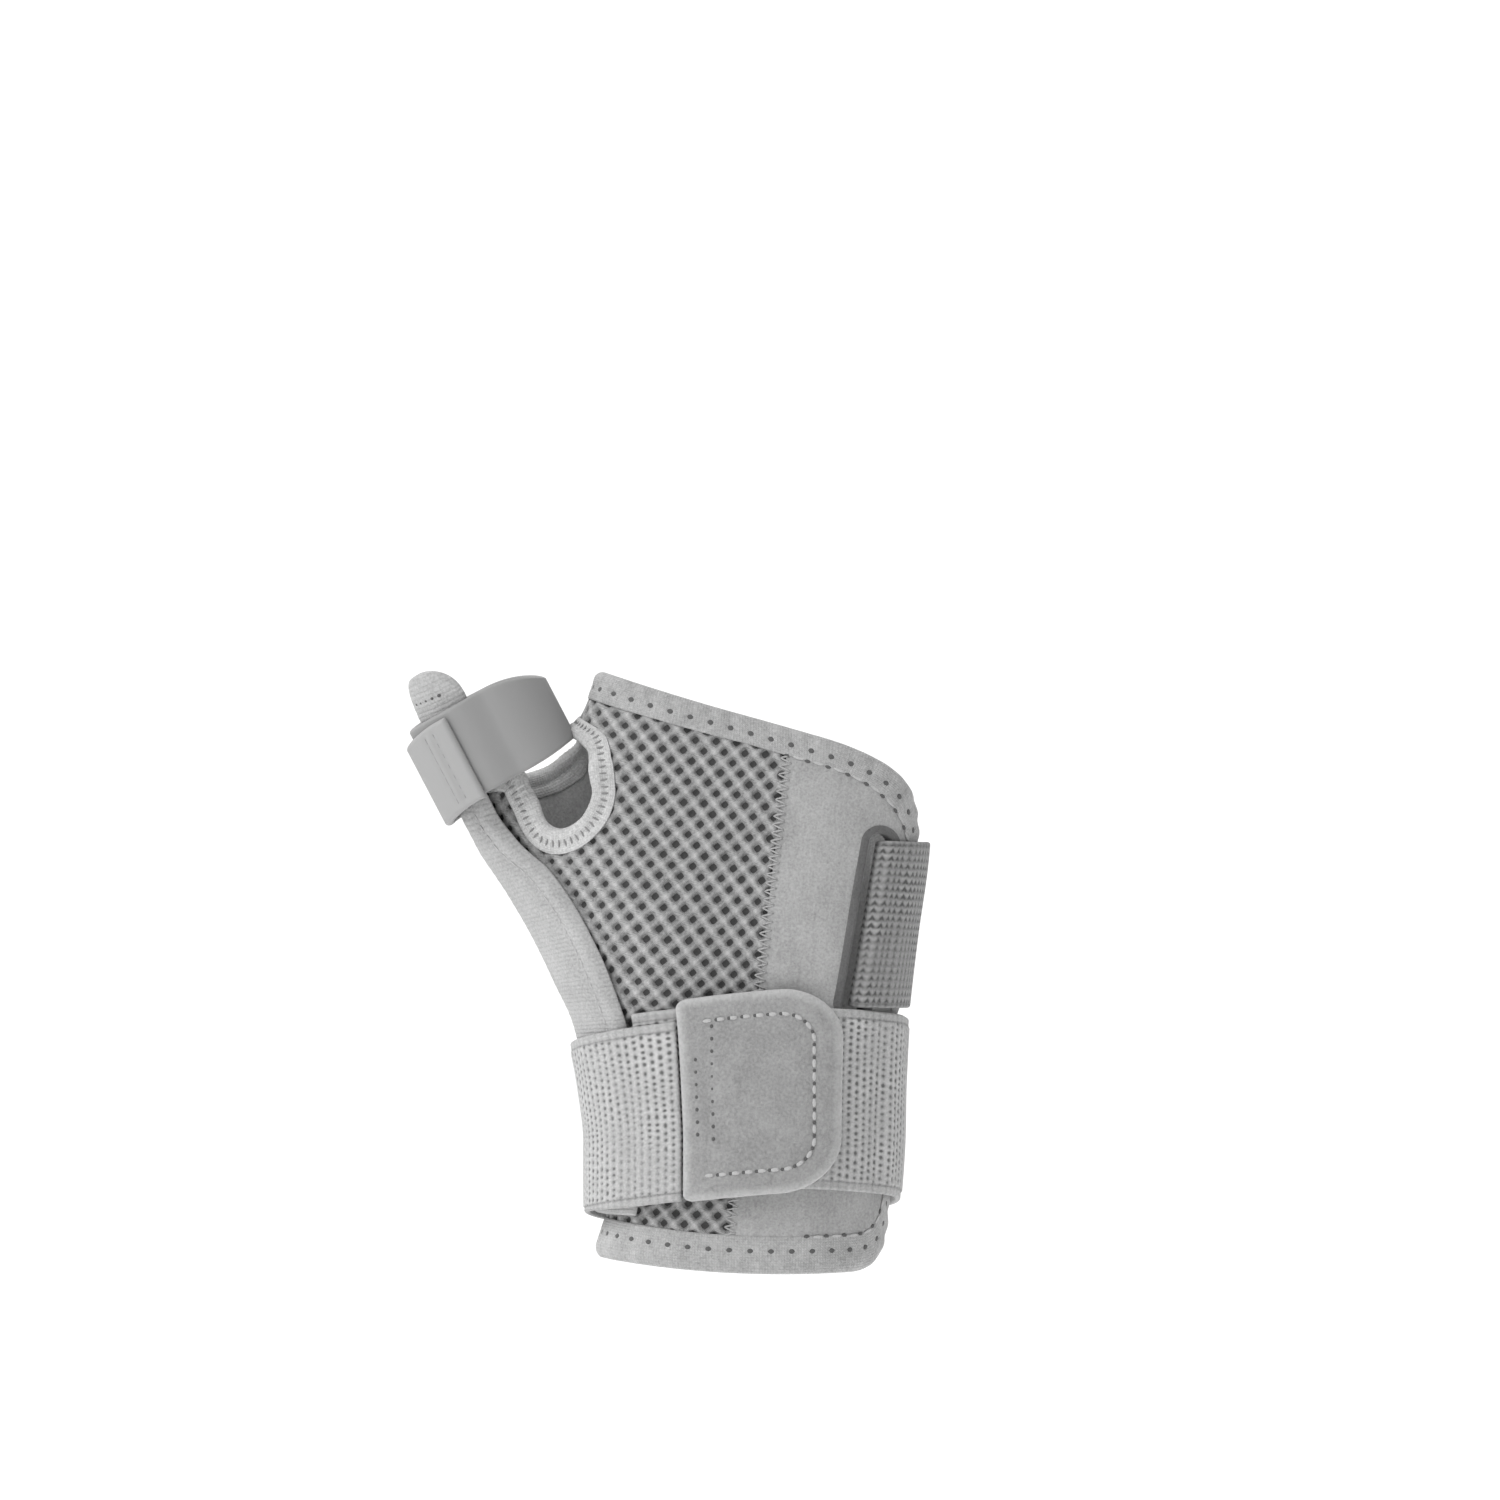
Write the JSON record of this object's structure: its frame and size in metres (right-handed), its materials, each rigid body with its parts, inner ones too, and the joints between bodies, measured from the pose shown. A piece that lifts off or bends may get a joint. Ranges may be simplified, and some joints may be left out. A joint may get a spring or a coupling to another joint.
{
  "type": "wrist and thumb brace",
  "caption": "Soft wrap brace for a left wrist and thumb, in its worn form: mesh palm, bound edges, thumb hole, padded thumb stay sleeve with strap, webbing hand strap and elastic wrist strap.",
  "frame": {"origin": "middle of the wrist, inside the wrist strap at its mid height", "axes": "+Z from the forearm to the fingers, -Y out of the palm, -X to the thumb"},
  "size_m": [0.1322, 0.0561, 0.1505],
  "materials": {
    "spacer_mesh": "open-faced spacer mesh, light strands over a dark ground",
    "plain_cloth": "brushed grey cloth",
    "binding": "light grey folded tape",
    "sleeve_cloth": "light grey padded cloth",
    "loop_cloth": "mid-grey loop cloth",
    "webbing": "ribbed grey webbing",
    "elastic": "rib-knit grey elastic",
    "tab_cloth": "fleecy grey loop cloth"
  },
  "bodies": {
    "root": {"mesh_panel": "spacer_mesh", "palm_panel": "plain_cloth", "back_panel": "plain_cloth", "palm_binding": "binding", "back_binding": "binding", "thumb_binding": "binding", "slot_trim": "loop_cloth", "stay_sleeve": "sleeve_cloth", "thumb_strap": "loop_cloth", "thumb_tab": "sleeve_cloth", "hand_strap": "webbing", "wrist_strap": "elastic", "wrist_tab": "tab_cloth"}
  },
  "joints": []
}
